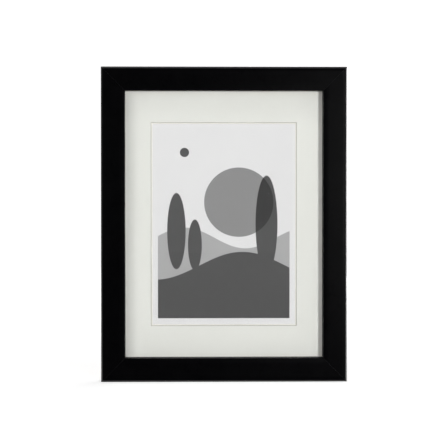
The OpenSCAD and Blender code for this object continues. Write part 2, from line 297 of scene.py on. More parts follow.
@dataclass(frozen=True)
class FibreBoard(Finish):
    """Pressed wood fibres, sanded: matt, with short curled fibres and a few dark flecks."""

    colour: str = "#85654A"
    light: str = "#9C7B5C"
    fleck: str = "#5B422E"
    roughness: float = 0.8
    specular: float = 0.3
    # A fibre bundle is 1 to 2 mm long and curled into its neighbours
    fibre: float = 1.6
    curl: float = 2.5
    # Clouds of 30 mm in which the board keeps its darker tone
    cloud: float = 30
    cloud_share: float = 0.5
    fleck_size: float = 0.55
    fleck_share: float = 0.3
    # The fleck pattern's tones between which a fleck fades in
    fleck_edge: tuple[float, float] = (0.62, 0.7)
    relief: float = 0.6
    depth: float = 0.02

    def material(self) -> bpy.types.Material:
        """Builds the material.

        Returns:
            The material, with curled fibres and flecks on them.
        """
        material, tree, place = self.begin()
        fibres = self.grain(tree, place, self.fibre, 0, 1, detail=5, twist=self.curl)
        clouds = self.grain(tree, place, self.cloud, 0, self.cloud_share)
        look = {"Vector": place, "Scale": repeats(self.fleck_size), "Detail": 1.0}
        specks = add_node(tree, "TexNoise", look).outputs[0]
        start, full = self.fleck_edge
        ends = {"Value": specks, "From Min": start, "From Max": full, "To Max": self.fleck_share}
        dots = add_node(tree, "MapRange", ends).outputs[0]
        tone = self.layer(
            tree,
            srgb(self.colour),
            (fibres, srgb(self.light)),
            (clouds, srgb(self.colour)),
            (dots, srgb(self.fleck)),
        )
        bump = {"Height": fibres, "Strength": self.relief, "Distance": self.depth * MM}
        shader = add_node(
            tree,
            "BsdfPrincipled",
            {
                "Base Color": tone,
                "Roughness": self.roughness,
                "Specular IOR Level": self.specular,
                "Normal": add_node(tree, "Bump", bump).outputs[0],
            },
        )
        self.end(tree, shader)
        return material


@dataclass(frozen=True)
class PaneGlass(Finish):
    """Float glass, 2 mm: clear and colourless, so that only its surface throws light back."""

    tint: str = "#FFFFFF"
    ior: float = 1.5
    # The cloth leaves a faint haze in clouds of 40 mm
    haze: float = 0.015
    haze_cloud: float = 40

    def material(self) -> bpy.types.Material:
        """Builds the material.

        Returns:
            Glass that lets the lamps' light through to the picture behind it.
        """
        material, tree, place = self.begin()
        glass = add_node(
            tree,
            "BsdfPrincipled",
            {
                "Base Color": srgb(self.tint),
                "Roughness": self.grain(tree, place, self.haze_cloud, 0.0, self.haze),
                "IOR": self.ior,
                "Transmission Weight": 1.0,
            },
        ).outputs[0]
        clear = add_node(tree, "BsdfTransparent").outputs[0]
        ray = add_node(tree, "LightPath").outputs
        rays = {0: ray["Is Shadow Ray"], 1: ray["Is Diffuse Ray"]}
        lit = add_node(tree, "Math", rays, operation="MAXIMUM").outputs[0]
        self.end(tree, add_node(tree, "MixShader", {0: lit, 1: glass, 2: clear}))
        return material


@dataclass(frozen=True)
class PaperBoard(Finish):
    """Uncoated board of pressed paper, bevel cut.

    It is matt and fine-grained, with faint fibres, and shows a whiter core where it is cut.
    """

    # Where its front face lies
    front: float = 0.0
    face: str = "#E4E5DF"
    core: str = "#F0EFE8"
    # The face paper shows as a thin dark line along the cut
    edge: str = "#8F8A7A"
    edge_depth: float = 0.3
    roughness: float = 0.9
    specular: float = 0.2
    # Clouds of 9 mm in which the face is up to this share darker
    cloud: float = 9
    cloud_share: float = 0.35
    cloud_tone: float = 0.97
    # The paper's tooth is about 0.3 mm
    tooth: float = 0.3
    relief: float = 0.7
    depth: float = 0.012

    def material(self) -> bpy.types.Material:
        """Builds the material.

        Returns:
            The material, which shows its core on every face that isn't a front or a rear.
        """
        material, tree, place = self.begin()
        clouds = self.grain(tree, place, self.cloud, 0, self.cloud_share)
        shade = tuple(self.cloud_tone * part for part in srgb(self.face)[:3]) + (1.0,)
        normal = add_node(tree, "NewGeometry").outputs["Normal"]
        facing = add_node(tree, "SeparateXYZ", {0: normal}).outputs[1]
        flat = add_node(tree, "Math", {0: facing}, operation="ABSOLUTE").outputs[0]
        cut = add_node(tree, "Math", {0: flat, 1: FACING}, operation="LESS_THAN").outputs[0]
        depth = add_node(tree, "SeparateXYZ", {0: place}).outputs[1]
        rim = {0: depth, 1: self.front + self.edge_depth * MM}
        top = add_node(tree, "Math", rim, operation="LESS_THAN").outputs[0]
        line = add_node(tree, "Math", {0: cut, 1: top}, operation="MULTIPLY").outputs[0]
        tone = self.layer(
            tree, srgb(self.face), (clouds, shade), (cut, srgb(self.core)), (line, srgb(self.edge))
        )
        tooth = self.grain(tree, place, self.tooth, 0, 1, detail=3)
        bump = {"Height": tooth, "Strength": self.relief, "Distance": self.depth * MM}
        shader = add_node(
            tree,
            "BsdfPrincipled",
            {
                "Base Color": tone,
                "Roughness": self.roughness,
                "Specular IOR Level": self.specular,
                "Normal": add_node(tree, "Bump", bump).outputs[0],
            },
        )
        self.end(tree, shader)
        return material


@dataclass(frozen=True)
class Disc:
    """A round patch of ink: its middle and radius in millimetres, from the middle of the sheet."""

    x: float
    z: float
    radius: float


@dataclass(frozen=True)
class Ridge:
    """A hill line: its height over the sheet's middle, its rise, its wave's length and start."""

    height: float
    rise: float
    wave: float
    start: float


@dataclass(frozen=True)
class Poplar:
    """A slim round tree: the middle of its crown, its width and its height."""

    x: float
    z: float
    width: float
    height: float


@dataclass(frozen=True)
class PrintedSheet(Finish):
    """Offset print on smooth paper, with a plain white margin.

    It shows a low sun over hills with poplars, in flat greys that darken where they overlap.
    """

    middle: Place = (0.0, 0.0, 0.0)
    paper: str = "#E2E2E2"
    light_ink: str = "#ABABAB"
    mid_ink: str = "#8C8C8C"
    dark_ink: str = "#525252"
    overlap_ink: str = "#373737"
    third_ink: str = "#6E6E6E"
    sun: Disc = Disc(13, 19, 30)
    moon: Disc = Disc(-34, 62, 4)
    near_hill: Ridge = Ridge(-36, 12, 150, 0.9)
    far_hill: Ridge = Ridge(-12, 9, 105, 3.6)
    poplars: tuple[Poplar, ...] = (
        Poplar(-41, -6, 16, 66),
        Poplar(-25, -18, 12, 44),
        Poplar(37, 0, 19, 84),
    )
    # The inks stop this far from the sheet's middle, across and up, and leave a white margin
    printed: tuple[float, float] = (57.0, 81.5)
    # Width over which an ink's edge fades
    soft: float = 0.12
    roughness: float = 0.7
    specular: float = 0.12
    # The paper's fibres, a quarter of a millimetre, barely stand up
    fibre: float = 0.25
    relief: float = 0.5
    depth: float = 0.004

    def disc(self, tree: Tree, flat: Socket, patch: Disc) -> Socket:
        """Gives 1 inside a round patch and 0 outside it.

        Args:
            tree: The node tree that gets the nodes.
            flat: Coordinates in millimetres from the sheet's middle, with no depth.
            patch: The round patch.

        Returns:
            The patch's mask.
        """
        centre = {0: flat, 1: (patch.x, 0, patch.z)}
        away = add_node(tree, "VectorMath", centre, operation="DISTANCE").outputs["Value"]
        inside = add_node(tree, "Math", {0: patch.radius, 1: away}, operation="SUBTRACT")
        return self.fill(tree, inside.outputs[0])

    def depth_under(self, tree: Tree, x: Socket, z: Socket, ridge: Ridge) -> Socket:
        """Gives how far a point lies under a hill line, in millimetres.

        Args:
            tree: The node tree that gets the nodes.
            x: The point's place across the sheet.
            z: The point's height on the sheet.
            ridge: The hill line.

        Returns:
            The depth, positive inside the hill.
        """
        wave = {0: x, 1: 2 * math.pi / ridge.wave, 2: ridge.start}
        turn = add_node(tree, "Math", wave, operation="MULTIPLY_ADD").outputs[0]
        swing = add_node(tree, "Math", {0: turn}, operation="SINE").outputs[0]
        rise = {0: swing, 1: ridge.rise, 2: ridge.height}
        line = add_node(tree, "Math", rise, operation="MULTIPLY_ADD").outputs[0]
        return add_node(tree, "Math", {0: line, 1: z}, operation="SUBTRACT").outputs[0]

    def depth_in(self, tree: Tree, flat: Socket, poplar: Poplar) -> Socket:
        """Gives about how far a point lies inside a tree's crown, in millimetres.

        Args:
            tree: The node tree that gets the nodes.
            flat: Coordinates in millimetres from the sheet's middle, with no depth.
            poplar: The tree that is printed.

        Returns:
            The depth, positive inside the crown.
        """
        crown = {0: flat, 1: (poplar.x, 0, poplar.z)}
        off = add_node(tree, "VectorMath", crown, operation="SUBTRACT").outputs[0]
        even = {0: off, 1: (1, 0, poplar.width / poplar.height)}
        rounded = add_node(tree, "VectorMath", even, operation="MULTIPLY").outputs[0]
        away = add_node(tree, "VectorMath", {0: rounded}, operation="LENGTH").outputs["Value"]
        inside = {0: poplar.width / 2, 1: away}
        return add_node(tree, "Math", inside, operation="SUBTRACT").outputs[0]

    def printed_area(self, tree: Tree, x: Socket, z: Socket) -> Socket:
        """Gives 1 inside the printed area and 0 on the white margin.

        Args:
            tree: The node tree that gets the nodes.
            x: The point's place across the sheet.
            z: The point's height on the sheet.

        Returns:
            The area's mask.
        """
        masks = []
        for along, reach in zip((x, z), self.printed):
            off = add_node(tree, "Math", {0: along}, operation="ABSOLUTE").outputs[0]
            inside = add_node(tree, "Math", {0: off, 1: reach}, operation="LESS_THAN")
            masks.append(inside.outputs[0])
        return add_node(tree, "Math", {0: masks[0], 1: masks[1]}, operation="MULTIPLY").outputs[0]

    def fill(self, tree: Tree, depth: Socket) -> Socket:
        """Turns a depth inside a line into a mask with a crisp edge.

        Args:
            tree: The node tree that gets the nodes.
            depth: The depth in millimetres, positive inside.

        Returns:
            The mask.
        """
        ends = {"Value": depth, "From Min": -self.soft, "From Max": self.soft}
        return add_node(tree, "MapRange", ends).outputs[0]

    def material(self) -> bpy.types.Material:
        """Builds the material.

        Returns:
            The material, with the inks laid over each other on the paper.
        """
        material, tree, place = self.begin()
        moved = add_node(tree, "VectorMath", {0: place, 1: self.middle}, operation="SUBTRACT")
        metric = {0: moved.outputs[0], "Scale": 1 / MM}
        sized = add_node(tree, "VectorMath", metric, operation="SCALE")
        upright = {0: sized.outputs[0], 1: (1, 0, 1)}
        flat = add_node(tree, "VectorMath", upright, operation="MULTIPLY").outputs[0]
        x, _, z = add_node(tree, "SeparateXYZ", {0: flat}).outputs
        near = self.depth_under(tree, x, z, self.near_hill)
        for poplar in self.poplars:
            grown = {0: near, 1: self.depth_in(tree, flat, poplar)}
            near = add_node(tree, "Math", grown, operation="MAXIMUM").outputs[0]
        far = self.depth_under(tree, x, z, self.far_hill)
        area = self.printed_area(tree, x, z)
        inked = []
        for hill in (near, far):
            clipped = {0: self.fill(tree, hill), 1: area}
            inked.append(add_node(tree, "Math", clipped, operation="MULTIPLY").outputs[0])
        near, far = inked
        sun, moon = (self.disc(tree, flat, patch) for patch in (self.sun, self.moon))
        sun_far = add_node(tree, "Math", {0: sun, 1: far}, operation="MULTIPLY").outputs[0]
        sun_near = add_node(tree, "Math", {0: sun, 1: near}, operation="MULTIPLY").outputs[0]
        tone = self.layer(
            tree,
            srgb(self.paper),
            (far, srgb(self.light_ink)),
            (sun, srgb(self.mid_ink)),
            (sun_far, srgb(self.third_ink)),
            (near, srgb(self.dark_ink)),
            (sun_near, srgb(self.overlap_ink)),
            (moon, srgb(self.dark_ink)),
        )
        fibres = self.grain(tree, place, self.fibre, 0, 1, detail=3)
        bump = {"Height": fibres, "Strength": self.relief, "Distance": self.depth * MM}
        shader = add_node(
            tree,
            "BsdfPrincipled",
            {
                "Base Color": tone,
                "Roughness": self.roughness,
                "Specular IOR Level": self.specular,
                "Normal": add_node(tree, "Bump", bump).outputs[0],
            },
        )
        self.end(tree, shader)
        return material


@dataclass(frozen=True)
class ZincSteel(Finish):
    """Steel strip, stamped and then zinc plated.

    It is bright grey and slightly cloudy, with fine rolling marks.
    """

    colour: str = "#C9CCCF"
    cloud: str = "#BCBEBF"
    roughness: tuple[float, float] = (0.3, 0.38)
    # Sizes in millimetres of the clouds in which the zinc's tone and gloss are uneven
    tone_cloud: float = 7
    gloss_cloud: float = 2.5
    # Rolling marks are hundredths of a millimetre apart; drawn at 0.15 mm so that they show
    mark: float = 0.15
    # They run across the object, twenty times as long as they are wide
    mark_stretch: tuple[float, float, float] = (0.05, 1, 1)
    relief: float = 0.8
    mark_depth: float = 0.003

    def material(self) -> bpy.types.Material:
        """Builds the material.

        Returns:
            The material, a metal with long fine marks and a cloudy gloss.
        """
        material, tree, place = self.begin()
        clouds = self.grain(tree, place, self.tone_cloud, 0, 1)
        marks = self.grain(tree, place, self.mark, 0, 1, stretch=self.mark_stretch)
        bump = {"Height": marks, "Strength": self.relief, "Distance": self.mark_depth * MM}
        shader = add_node(
            tree,
            "BsdfPrincipled",
            {
                "Base Color": self.layer(tree, srgb(self.colour), (clouds, srgb(self.cloud))),
                "Metallic": 1.0,
                "Roughness": self.grain(tree, place, self.gloss_cloud, *self.roughness),
                "Normal": add_node(tree, "Bump", bump).outputs[0],
            },
        )
        self.end(tree, shader)
        return material


# Shaping helpers


def every(centre: Vector, normal: Vector) -> bool:
    """Passes each element, whatever its middle and normal."""
    return True


class Workpiece:
    """A mesh that is shaped as by hand, from a primitive at its place."""

    def __init__(self, shape: bpy.types.Object) -> None:
        """Takes over an object as the piece being shaped."""
        self.shape = shape

    @staticmethod
    def clear_selection() -> None:
        """Deselects everything, so that an operator acts on the next piece alone."""
        if bpy.context.mode != "OBJECT":
            bpy.ops.object.mode_set(mode="OBJECT")
        bpy.ops.object.select_all(action="DESELECT")

    @classmethod
    def block(cls, name: str, low: Sequence[float], high: Sequence[float]) -> "Workpiece":
        """Starts from a cube.

        Args:
            name: The piece's name.
            low: The block's lowest corner.
            high: Its highest corner.

        Returns:
            The workpiece, with its size and place in its mesh.
        """
        cls.clear_selection()
        low, high = Vector(low), Vector(high)
        bpy.ops.mesh.primitive_cube_add(size=1, location=(low + high) / 2)
        piece = cls(bpy.context.active_object)
        piece.shape.scale = high - low
        return piece.settle(name)

    @classmethod
    def rod(
        cls,
        name: str,
        centre: Sequence[float],
        radius: float,
        length: float,
        axis: Vector,
        sides: int = 48,
    ) -> "Workpiece":
        """Starts from a cylinder.

        Args:
            name: The piece's name.
            centre: The middle of the rod.
            radius: The rod's radius.
            length: The rod's length.
            axis: The direction in which the rod runs.
            sides: How many sides the rod has.

        Returns:
            The workpiece, with its size and place in its mesh.
        """
        cls.clear_selection()
        turn = ALONG_Z.rotation_difference(axis).to_euler()
        bpy.ops.mesh.primitive_cylinder_add(
            vertices=sides, radius=radius, depth=length, location=centre, rotation=turn
        )
        return cls(bpy.context.active_object).settle(name)

    @classmethod
    def hoop(
        cls, name: str, centre: Sequence[float], radius: float, axis: Vector, sides: int = 24
    ) -> "Workpiece":
        """Starts from an open circle, such as a wire's section.

        Args:
            name: The piece's name.
            centre: The middle of the circle.
            radius: The circle's radius.
            axis: The direction that the circle faces.
            sides: How many sides the circle has.

        Returns:
            The workpiece, with its size and place in its mesh.
        """
        cls.clear_selection()
        turn = ALONG_Z.rotation_difference(axis).to_euler()
        bpy.ops.mesh.primitive_circle_add(
            vertices=sides, radius=radius, location=centre, rotation=turn
        )
        return cls(bpy.context.active_object).settle(name)

    @classmethod
    def plate(cls, name: str, low: Sequence[float], high: Sequence[float]) -> "Workpiece":
        """Starts from a plane that stands upright and faces along Y.

        Args:
            name: The piece's name.
            low: The plane's lowest corner.
            high: Its highest corner.

        Returns:
            The workpiece, with its size and place in its mesh.
        """
        cls.clear_selection()
        low, high = Vector(low), Vector(high)
        upright = (QUARTER, 0, 0)
        bpy.ops.mesh.primitive_plane_add(size=1, location=(low + high) / 2, rotation=upright)
        piece = cls(bpy.context.active_object)
        piece.shape.scale = (high.x - low.x, high.z - low.z, 1)
        return piece.settle(name)

    @classmethod
    def turned(
        cls, name: str, stations: Sequence[tuple[float, float]], sides: int = 32
    ) -> "Workpiece":
        """Turns a round shape along Y through the origin, from a disc drawn out step by step.

        Args:
            name: The piece's name.
            stations: Radius and place along Y of each step.
            sides: How many sides the shape has.

        Returns:
            The closed shape.
        """
        cls.clear_selection()
        radius, place = stations[0]
        bpy.ops.mesh.primitive_circle_add(
            vertices=sides,
            radius=radius,
            fill_type="NGON",
            location=(0, place, 0),
            rotation=(QUARTER, 0, 0),
        )
        piece = cls(bpy.context.active_object).settle(name)
        piece.pick(Element.FACE, every)
        for wide, far in stations[1:]:
            piece.pull((0, far - place, 0))
            factor = wide / radius
            bpy.ops.transform.resize(value=(factor, 1, factor), center_override=(0, far, 0))
            radius, place = wide, far
        return piece.close().tidy()

    @classmethod
    def of_node(cls, name: str, node: str) -> "Workpiece":
        """Starts from a copy of a CAD node's mesh, merged into whole faces.

        Args:
            name: The piece's name.
            node: The CAD node.

        Returns:
            The workpiece, in the node's place.
        """
        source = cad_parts[node]
        twin = source.copy()
        twin.data = source.data.copy()
        twin.data.materials.clear()
        twin.parent = None
        for key in list(twin.keys()):
            del twin[key]
        bpy.context.scene.collection.objects.link(twin)
        piece = cls(twin).settle(name).tidy()
        piece.pick(Element.FACE, every)
        bpy.ops.mesh.dissolve_limited(angle_limit=FLAT_TURN)
        return piece.close()

    def settle(self, name: str = "") -> "Workpiece":
        """Puts the object's place, turn and size into its mesh, and names it.

        Args:
            name: The piece's new name, or nothing to keep the one it has.

        Returns:
            The same workpiece.
        """
        self.activate()
        bpy.ops.object.transform_apply(location=True, rotation=True, scale=True)
        if name:
            self.shape.name = name
            self.shape.data.name = name
        return self

    def activate(self) -> None:
        """Makes this the only selected object."""
        self.clear_selection()
        self.shape.select_set(True)
        bpy.context.view_layer.objects.active = self.shape

    def pick(self, element: Element, test: Test) -> "Workpiece":
        """Opens edit mode with only those elements selected that pass a test.

        Args:
            element: Whether vertices, edges or faces are picked.
            test: Says whether one is picked, from its middle and its normal, or from the middle
                and the direction of an edge.

        Returns:
            The same workpiece, in edit mode.
        """
        self.activate()
        bpy.ops.object.mode_set(mode="EDIT")
        bpy.ops.mesh.select_mode(type=element.value)
        bpy.ops.mesh.select_all(action="DESELECT")
        mesh = bmesh.from_edit_mesh(self.shape.data)
        mesh.normal_update()
        if element is Element.FACE:
            for face in mesh.faces:
                face.select_set(test(face.calc_center_median(), face.normal))
        elif element is Element.EDGE:
            for edge in mesh.edges:
                start, stop = (v.co for v in edge.verts)
                edge.select_set(test((start + stop) / 2, (stop - start).normalized()))
        else:
            for vert in mesh.verts:
                vert.select_set(test(vert.co, vert.normal))
        mesh.select_flush_mode()
        bmesh.update_edit_mesh(self.shape.data)
        return self

    def close(self) -> "Workpiece":
        """Leaves edit mode."""
        bpy.ops.object.mode_set(mode="OBJECT")
        return self

    def slice(self, place: Sequence[float], facing: Sequence[float], drop: bool) -> "Workpiece":
        """Cuts the whole piece along a plane.

        Args:
            place: A point on the plane.
            facing: The plane's normal.
            drop: Whether what lies on the normal's side is thrown away and the cut is closed.

        Returns:
            The same workpiece.
        """
        self.pick(Element.FACE, every)
        bpy.ops.mesh.bisect(plane_co=place, plane_no=facing, use_fill=drop, clear_outer=drop)
        return self.close()

    def pull(self, offset: Sequence[float]) -> "Workpiece":
        """Extrudes what is picked by an offset, and stays in edit mode."""
        bpy.ops.mesh.extrude_region_move(TRANSFORM_OT_translate={"value": tuple(offset)})
        return self

    def swing(self, centre: Sequence[float], angle: float, steps: int) -> "Workpiece":
        """Draws what is picked round an axis along Y, right-handed, and stays in edit mode."""
        return self.roll(centre, ALONG_Y, angle, steps)

    def roll(self, centre: Sequence[float], axis: Vector, angle: float, steps: int) -> "Workpiece":
        """Draws what is picked round an axis, and stays in edit mode.

        Args:
            centre: A point on the axis.
            axis: The axis' direction.
            angle: How far round, right-handed. The spin operator counts the other way.
            steps: How many faces the bend gets.

        Returns:
            The same workpiece.
        """
        bpy.ops.mesh.spin(steps=steps, angle=-angle, center=centre, axis=axis)
        return self

    def wrap(self) -> "Workpiece":
        """Fills the piece out to its convex hull, as a band stretched round it would.

        Returns:
            The same workpiece.
        """
        self.pick(Element.VERT, every)
        bpy.ops.mesh.convex_hull()
        bpy.ops.mesh.select_all(action="SELECT")
        bpy.ops.mesh.dissolve_limited(angle_limit=FLAT_TURN)
        return self.close()

    def round_picked(self, radius: float, steps: int) -> "Workpiece":
        """Bevels the picked edges to a radius, and leaves edit mode."""
        bpy.ops.mesh.bevel(offset=radius, segments=steps, affect="EDGES", clamp_overlap=True)
        return self.close()

    def ease(self, width: float, steps: int = 2, angle: float = 35) -> "Workpiece":
        """Breaks every edge that is sharper than an angle, as stamping or sanding leaves it.

        Args:
            width: Width of the broken edge.
            steps: How many faces it has.
            angle: Edges that turn less than this many degrees stay as they are.

        Returns:
            The same workpiece.
        """
        self.activate()
        bevel = self.shape.modifiers.new("ease", "BEVEL")
        bevel.width = width
        bevel.segments = steps
        bevel.limit_method = "ANGLE"
        bevel.angle_limit = math.radians(angle)
        bpy.ops.object.modifier_apply(modifier=bevel.name)
        return self

    def cut(self, cutter: "Workpiece") -> "Workpiece":
        """Takes a cutter's shape away, and throws the cutter away.

        Args:
            cutter: The shape that is taken away.

        Returns:
            The same workpiece.
        """
        self.activate()
        hole = self.shape.modifiers.new("cut", "BOOLEAN")
        hole.operation = "DIFFERENCE"
        hole.solver = "EXACT"
        hole.object = cutter.shape
        bpy.ops.object.modifier_apply(modifier=hole.name)
        bpy.data.objects.remove(cutter.shape)
        return self

    def copy(self, name: str, matrix: Matrix | None = None) -> "Workpiece":
        """Copies the piece with its own mesh, and moves the copy.

        Args:
            name: The copy's name.
            matrix: How the copy is moved or turned, or None to leave it in place.

        Returns:
            The copy.
        """
        twin = self.shape.copy()
        twin.data = self.shape.data.copy()
        twin.name = name
        twin.data.name = name
        bpy.context.scene.collection.objects.link(twin)
        if matrix is not None:
            twin.matrix_world = matrix
        return Workpiece(twin).settle()

    def join(self, others: Iterable["Workpiece"]) -> "Workpiece":
        """Takes other pieces into this one.

        Args:
            others: The pieces that become part of it.

        Returns:
            The same workpiece.
        """
        self.activate()
        for other in others:
            other.shape.select_set(True)
        bpy.ops.object.join()
        return self

    def tidy(self, gap: float = 0.001 * MM) -> "Workpiece":
        """Merges doubled vertices and turns every face outwards.

        Args:
            gap: Vertices closer than this become one.

        Returns:
            The same workpiece.
        """
        self.activate()
        bpy.ops.object.mode_set(mode="EDIT")
        bpy.ops.mesh.select_all(action="SELECT")
        bpy.ops.mesh.remove_doubles(threshold=gap)
        bpy.ops.mesh.normals_make_consistent(inside=False)
        return self.close()

    def smooth(self, angle: float = 30) -> "Workpiece":
        """Shades the piece smoothly, apart from its sharp edges.

        Args:
            angle: Edges that turn less than this many degrees are smooth.

        Returns:
            The same workpiece.
        """
        self.activate()
        bpy.ops.object.shade_smooth_by_angle(angle=math.radians(angle))
        return self

    def paint(self, index: int, test: Test) -> "Workpiece":
        """Gives one of the piece's materials to the faces that pass a test.

        Args:
            index: The material's number on the piece.
            test: Takes a face's middle and normal, and says whether it gets the material.

        Returns:
            The same workpiece.
        """
        self.pick(Element.FACE, test)
        self.shape.active_material_index = index
        bpy.ops.object.material_slot_assign()
        return self.close()


def stand_in(
    piece: Workpiece, node: str, body: str, finishes: Sequence[bpy.types.Material]
) -> None:
    """Puts a finished piece in a CAD node's place.

    Args:
        piece: The finished piece.
        node: The CAD node that it stands for.
        body: The body that it moves with.
        finishes: The piece's materials by number, where it hasn't been given them before.
    """
    if not piece.shape.data.materials:
        for finish in finishes:
            piece.shape.data.materials.append(finish)
    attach(piece.shape, body)
    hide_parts(node)
    LOG.info("%s rides on %s, %d faces", piece.shape.name, body, len(piece.shape.data.polygons))


def dress(node: str, finish: bpy.types.Material) -> None:
    """Gives a CAD node whose shape is right its real finish.

    Args:
        node: The CAD node.
        finish: The material that it shows.
    """
    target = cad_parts[node]
    if not target.material_slots:
        target.data.materials.append(finish)
    for slot in target.material_slots:
        slot.material = finish
    LOG.info("%s keeps its shape and is dressed as %s", node, finish.name)


# Sub-assemblies


@dataclass
class Moulding:
    """Four foil-wrapped rails, mitred and nailed at the corners."""

    foil: bpy.types.Material
    bare: bpy.types.Material
    steel: bpy.types.Material
    lip_depth: float = 13 * MM
    lip_width: float = 5.6 * MM
    # The outer front edge is round enough to catch a line of light
    arris: float = 2.3 * MM
    sight_edge: float = 0.5 * MM
    rear_chamfer: float = 0.6 * MM
    # The saw leaves the mitre's edges slightly broken, which shows as a hairline at each corner
    mitre_break: float = 0.12 * MM
    rear_break: float = 0.2 * MM
    # The foil is folded this far over the rear face
    foil_lap: float = 4.5 * MM
    nail_leg: float = 5 * MM
    nail_strip: float = 0.6 * MM
    # Where the two nails of a corner sit, as shares of the rail's breadth behind
    nail_shares: tuple[float, float] = (0.24, 0.6)
    screw_hole: float = 1.27 * MM
    screw_depth: float = 11 * MM
    screw_head: float = 2.9 * MM
    low: Vector = field(default_factory=lambda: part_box("rail_bottom")[0])
    high: Vector = field(default_factory=lambda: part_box("rail_top")[1])

    def __post_init__(self) -> None:
        """Works out the sizes that follow from the frame."""
        self.middle = (self.low + self.high) / 2
        self.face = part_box("rail_bottom")[1].z - self.low.z
        self.band = self.face - self.lip_width
        self.front, self.rear = self.low.y, self.high.y

    def rail(self, name: str, length: float, reach: float) -> Workpiece:
        """Shapes one rail along X, below the frame's middle.

        Args:
            name: The rail's name.
            length: Its length along the outer edge.
            reach: Distance from the frame's middle to the rail's outer edge.

        Returns:
            The mitred rail.
        """
        outer = self.middle.z - reach
        inner = outer + self.face
        wall = outer + self.band
        lip_rear = self.front + self.lip_depth
        half = length / 2
        rail = Workpiece.block(name, (-half, self.front, outer), (half, lip_rear, inner))
        rail.slice((0, 0, wall), ALONG_Z, drop=False)
        rail.pick(Element.FACE, lambda c, n: n.y > FACING and c.z < wall)
        rail.pull((0, self.rear - lip_rear, 0)).close()
        rail.slice((0, 0, outer + self.foil_lap), ALONG_Z, drop=False)
        for depth, height, radius, steps in (
            (self.front, outer, self.arris, 8),
            (self.front, inner, self.sight_edge, 3),
            (self.rear, outer, self.rear_chamfer, 1),
        ):
            rail.pick(Element.EDGE, self.along(depth, height)).round_picked(radius, steps)
        for side in (-1, 1):
            rail.slice((side * half, 0, outer), (side, 0, 1), drop=True)

        def mitred(centre: Vector) -> bool:
            """Says whether a place lies on one of the mitres."""
            return abs(half - (centre.z - outer) - abs(centre.x)) < NEAR

        rail.pick(Element.EDGE, lambda c, d: mitred(c) and c.y < lip_rear - NEAR)
        rail.round_picked(self.mitre_break, steps=1)
        rail.pick(Element.EDGE, lambda c, d: mitred(c) and c.y > self.rear - NEAR)
        rail.round_picked(self.rear_break, steps=1)
        return rail.tidy()

    def along(self, depth: float, height: float) -> Test:
        """Gives the test for a long edge at a depth and a height."""
        return lambda c, d: abs(d.x) > FACING and max(abs(c.y - depth), abs(c.z - height)) < NEAR

    def turned(self, quarters: int) -> Matrix:
        """Gives the turn by quarter turns round the frame's middle, seen along Y."""
        centre = Matrix.Translation(self.middle)
        return centre @ Matrix.Rotation(quarters * QUARTER, 4, "Y") @ centre.inverted()

    def nail_slots(self) -> Workpiece:
        """Shapes the cutter for the slots that the corner nails leave.

        Returns:
            Eight V-shaped slots, two at each corner, as one piece.
        """
        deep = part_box("corner_nails")[0].y
        strip, leg = self.nail_strip, self.nail_leg
        slot = Workpiece.block("nail_slots", (-strip, deep, -strip), (0, self.rear + OVER, 0))
        slot.pick(Element.FACE, lambda c, n: n.x < -FACING)
        slot.pull((strip - leg, 0, 0)).close()
        slot.pick(Element.FACE, lambda c, n: n.z < -FACING and c.x > -strip)
        slot.pull((0, 0, strip - leg)).close()
        copies = []
        for quarters, side, end in ((0, 1, 1), (1, 1, -1), (2, -1, -1), (3, -1, 1)):
            for share in self.nail_shares:
                inset = share * self.band
                place = (
                    side * (self.high.x - inset),
                    0,
                    self.middle.z + end * (self.high.z - self.middle.z - inset),
                )
                turn = Matrix.Translation(place) @ Matrix.Rotation(quarters * QUARTER, 4, "Y")
                copies.append(slot.copy("slot", turn))
        bpy.data.objects.remove(slot.shape)
        return copies[0].join(copies[1:])

    def finish(self, rail: Workpiece, node: str, out: Vector, slots: Workpiece) -> None:
        """Cuts the nail slots, parts foil from bare board, and puts the rail in place.

        Args:
            rail: The shaped rail at its place.
            node: The CAD node that it stands for.
            out: The direction from the frame's middle to the rail.
            slots: The cutter for the nail slots.
        """
        rail.cut(slots.copy("cutter"))
        if out.x:
            screw_low, screw_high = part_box("turn_button_screws")
            inset = self.band / 2
            for height in (screw_low.z, screw_high.z):
                away = self.screw_head if height < self.middle.z else -self.screw_head
                mouth = (out.x * (self.high.x - inset), self.rear, height + away)
                deep = 2 * self.screw_depth
                rail.cut(Workpiece.rod("hole", mouth, self.screw_hole, deep, ALONG_Y))
        rail.tidy()
        for material in (self.foil, self.bare):
            rail.shape.data.materials.append(material)
        reach = max((v.co - self.middle).dot(out) for v in rail.shape.data.vertices)
        lap = reach - self.foil_lap

        def is_bare(centre: Vector, normal: Vector) -> bool:
            """Says whether a face is one that the foil doesn't reach.

            Args:
                centre: The face's middle.
                normal: The face's normal.

            Returns:
                Whether it shows the bare board.
            """
            away = (centre - self.middle).dot(out)
            outside = normal.dot(out) > LEANING or normal.y < -LEANING
            behind = normal.y > LEANING and away > lap
            lip_wall = normal.dot(out) < -LEANING and centre.y < self.front + self.lip_depth
            return not (outside or behind or lip_wall)

        rail.paint(1, is_bare).smooth()
        stand_in(rail, node, "frame", ())

    def build(self) -> None:
        """Shapes the four rails and dresses the nails."""
        width, height = self.high.x - self.low.x, self.high.z - self.low.z
        bottom = self.rail("bottom_rail", width, height / 2)
        top = bottom.copy("top_rail", self.turned(2))
        left = self.rail("left_rail", height, width / 2)
        left.shape.matrix_world = self.turned(1)
        left.settle()
        right = left.copy("right_rail", self.turned(2))
        slots = self.nail_slots()
        self.finish(bottom, "rail_bottom", -ALONG_Z, slots)
        self.finish(top, "rail_top", ALONG_Z, slots)
        self.finish(left, "rail_left", -ALONG_X, slots)
        self.finish(right, "rail_right", ALONG_X, slots)
        bpy.data.objects.remove(slots.shape)
        dress("corner_nails", self.steel)


